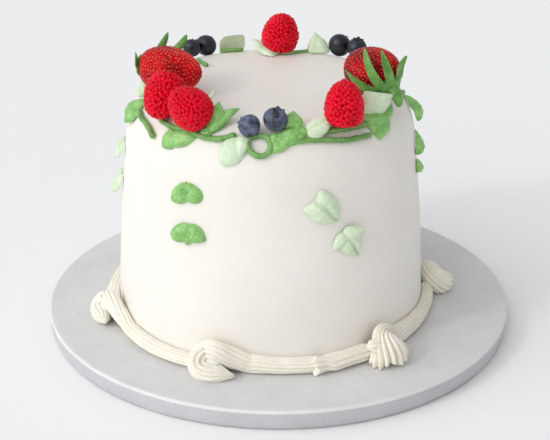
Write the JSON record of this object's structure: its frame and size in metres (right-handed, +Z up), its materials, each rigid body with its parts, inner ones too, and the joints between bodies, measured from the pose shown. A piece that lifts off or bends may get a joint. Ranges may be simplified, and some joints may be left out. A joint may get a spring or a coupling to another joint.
{
  "type": "berry cake on cake stand",
  "caption": "Tall round cream-iced cake on a flat round stone disc, with fresh berries and piped leaves and vines round its top edge and a piped border round its foot.",
  "frame": {"origin": "middle of the stone disc's underside", "axes": "+Z up, +X to the right and +Y away from the viewer as the picture looks at it"},
  "size_m": [0.24, 0.24, 0.1582],
  "materials": {
    "stone": "fine-grained matte grey stone disc",
    "icing": "smooth cream icing with a soft sheen",
    "piped_icing": "piped cream icing with a soft sheen",
    "strawberry": "glossy red fruit with yellow seeds",
    "raspberry": "red drupelets with a satin sheen",
    "blueberry": "dark blue fruit with a pale bloom",
    "calyx": "fresh green sepals and stem",
    "dark_leaf_icing": "green piped icing",
    "pale_leaf_icing": "pale green piped icing",
    "vine_icing": "green piped icing"
  },
  "bodies": {
    "root": {"blueberry_back_left": "blueberry", "blueberry_back_left_far": "blueberry", "blueberry_back_right": "blueberry", "blueberry_back_right_far": "blueberry", "blueberry_front_left": "blueberry", "blueberry_front_right": "blueberry", "border_1": "piped_icing", "border_2": "piped_icing", "border_3": "piped_icing", "border_4": "piped_icing", "border_5": "piped_icing", "border_6": "piped_icing", "border_7": "piped_icing", "cake": "icing", "calyx_left": "calyx", "calyx_right": "calyx", "leaf_back_left_curled": "pale_leaf_icing", "leaf_back_pale": "pale_leaf_icing", "leaf_back_right_pale": "pale_leaf_icing", "leaf_by_blueberries": "dark_leaf_icing", "leaf_front_dark": "dark_leaf_icing", "leaf_front_left": "dark_leaf_icing", "leaf_front_pale": "pale_leaf_icing", "leaf_front_right_pale": "pale_leaf_icing", "leaf_front_tip": "dark_leaf_icing", "leaf_left_pale": "pale_leaf_icing", "leaf_left_shoulder": "dark_leaf_icing", "leaf_right_dark": "dark_leaf_icing", "leaf_right_pale": "pale_leaf_icing", "leaf_spike": "pale_leaf_icing", "plate": "stone", "raspberry_back": "raspberry", "raspberry_front": "raspberry", "raspberry_left": "raspberry", "raspberry_right": "raspberry", "strawberry_left": "strawberry", "strawberry_right": "strawberry", "vine_back_left": "vine_icing", "vine_back_right": "vine_icing", "vine_behind_strawberry": "vine_icing", "vine_front_left": "vine_icing", "vine_left": "vine_icing", "vine_loop": "vine_icing", "vine_right_end": "vine_icing", "vine_right_lower": "vine_icing", "vine_right_upper": "vine_icing", "wall_leaf_back_left_lower": "dark_leaf_icing", "wall_leaf_back_left_upper": "dark_leaf_icing", "wall_leaf_back_right_lower": "pale_leaf_icing", "wall_leaf_back_right_upper": "pale_leaf_icing", "wall_leaf_front_left_lower": "dark_leaf_icing", "wall_leaf_front_left_upper": "dark_leaf_icing", "wall_leaf_front_right_lower": "pale_leaf_icing", "wall_leaf_front_right_upper": "pale_leaf_icing", "wall_leaf_left_lower": "pale_leaf_icing", "wall_leaf_left_upper": "pale_leaf_icing", "wall_leaf_right_lower": "dark_leaf_icing", "wall_leaf_right_middle": "dark_leaf_icing", "wall_leaf_right_upper": "dark_leaf_icing"}
  },
  "joints": []
}
